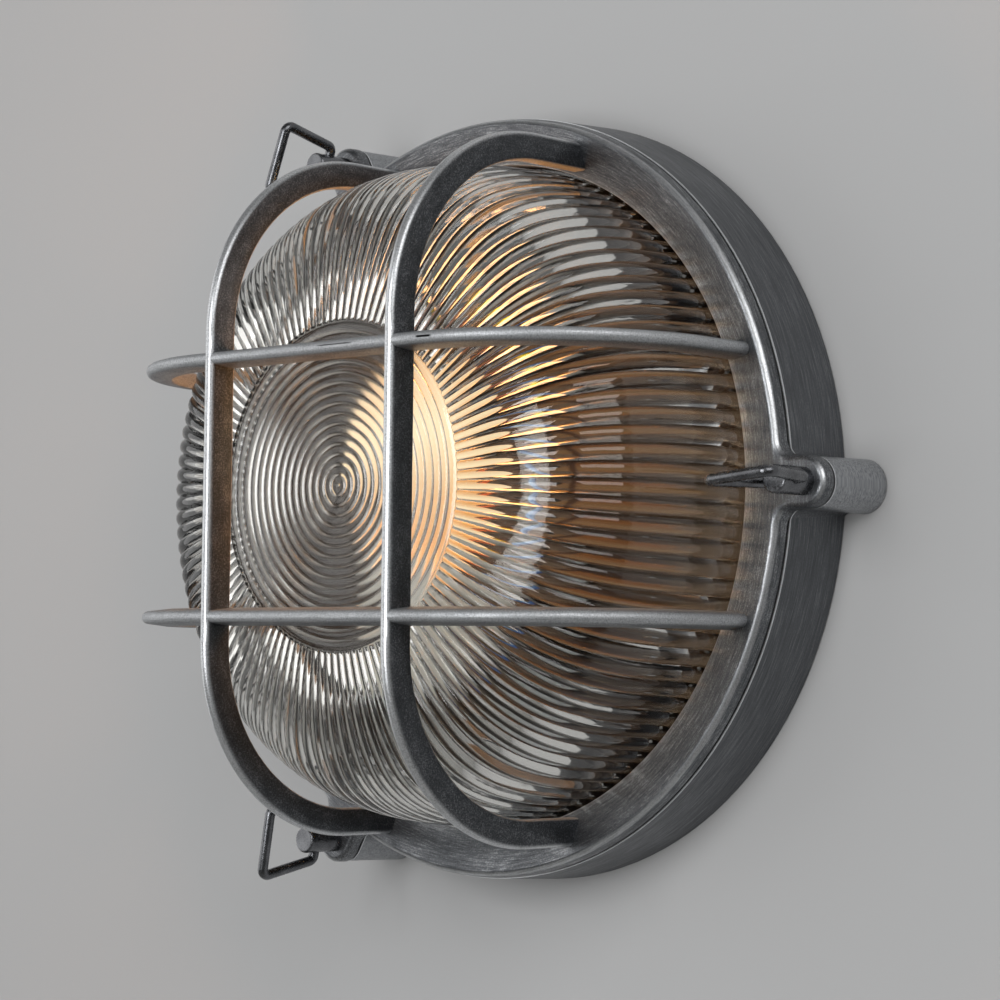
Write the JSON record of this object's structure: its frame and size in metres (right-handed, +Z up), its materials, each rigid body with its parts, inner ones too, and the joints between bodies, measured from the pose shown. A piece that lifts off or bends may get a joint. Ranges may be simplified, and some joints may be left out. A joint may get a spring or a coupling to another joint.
{
  "type": "bulkhead light",
  "caption": "Round wall bulkhead light: ribbed pressed-glass dome behind a cast guard cage, clamped to a shallow cast housing by thumbscrews with wire bails.",
  "frame": {"origin": "centre of the housing's flat back, on the wall plane", "axes": "+Y into the wall, +Z up, +X to the right of someone facing the wall; the light faces -Y"},
  "size_m": [0.2375, 0.0983, 0.223],
  "materials": {
    "pewter_aluminium": "brushed, antique pewter",
    "gunmetal_steel": "dark polished",
    "clear_glass": "pressed, clear",
    "opal_glass": "opal, lit warm",
    "black_rubber": "matt",
    "zinc_steel": "zinc plated",
    "glazed_ceramic": "glazed ceramic",
    "brass": "satin",
    "white_nylon": "satin",
    "brown_sheath": "satin",
    "blue_sheath": "satin",
    "green_sheath": "satin"
  },
  "bodies": {
    "housing": {"rear_housing": "pewter_aluminium", "rim_gasket": "black_rubber", "cable_grommet": "black_rubber", "lampholder_bracket": "zinc_steel", "bracket_screws": "zinc_steel", "lampholder": "glazed_ceramic", "lampholder_shell": "brass", "lampholder_contact": "brass", "lampholder_screws": "zinc_steel", "terminal_block": "white_nylon", "terminal_screws": "zinc_steel", "terminal_fixing_screw": "zinc_steel", "earth_screw": "brass", "live_wire": "brown_sheath", "neutral_wire": "blue_sheath", "earth_wire": "green_sheath", "bulb": "opal_glass"},
    "cover": {"guard": "pewter_aluminium", "lens": "clear_glass", "lens_gasket": "black_rubber", "lens_clips": "zinc_steel", "clip_screws": "zinc_steel", "screw_retainers": "white_nylon"},
    "right_screw": {"thumbscrew_right": "gunmetal_steel"},
    "right_bail": {"bail_right": "gunmetal_steel"},
    "upper_screw": {"thumbscrew_upper": "gunmetal_steel"},
    "upper_bail": {"bail_upper": "gunmetal_steel"},
    "lower_screw": {"thumbscrew_lower": "gunmetal_steel"},
    "lower_bail": {"bail_lower": "gunmetal_steel"}
  },
  "joints": [
    {"name": "cover_lift", "type": "slide", "parent": "housing", "child": "cover", "axis": [0, -1, 0], "range_m": [0, 0.08]},
    {"name": "right_screw_turn", "type": "hinge", "parent": "cover", "child": "right_screw", "pos_m": [0.1162, -0.034, 0], "axis": [0, -1, 0], "continuous": true},
    {"name": "right_bail_swing", "type": "hinge", "parent": "right_screw", "child": "right_bail", "pos_m": [0.1162, -0.034, 0], "axis": [0.9962, 0, 0.0872], "range_deg": [-85, 85]},
    {"name": "upper_screw_turn", "type": "hinge", "parent": "cover", "child": "upper_screw", "pos_m": [-0.0581, -0.034, 0.10063], "axis": [0, -1, 0], "continuous": true},
    {"name": "upper_bail_swing", "type": "hinge", "parent": "upper_screw", "child": "upper_bail", "pos_m": [-0.0581, -0.034, 0.10063], "axis": [0.3746, 0, 0.9272], "range_deg": [-45, 45]},
    {"name": "lower_screw_turn", "type": "hinge", "parent": "cover", "child": "lower_screw", "pos_m": [-0.0581, -0.034, -0.10063], "axis": [0, -1, 0], "continuous": true},
    {"name": "lower_bail_swing", "type": "hinge", "parent": "lower_screw", "child": "lower_bail", "pos_m": [-0.0581, -0.034, -0.10063], "axis": [0.1736, 0, 0.9848], "range_deg": [-45, 45]}
  ]
}
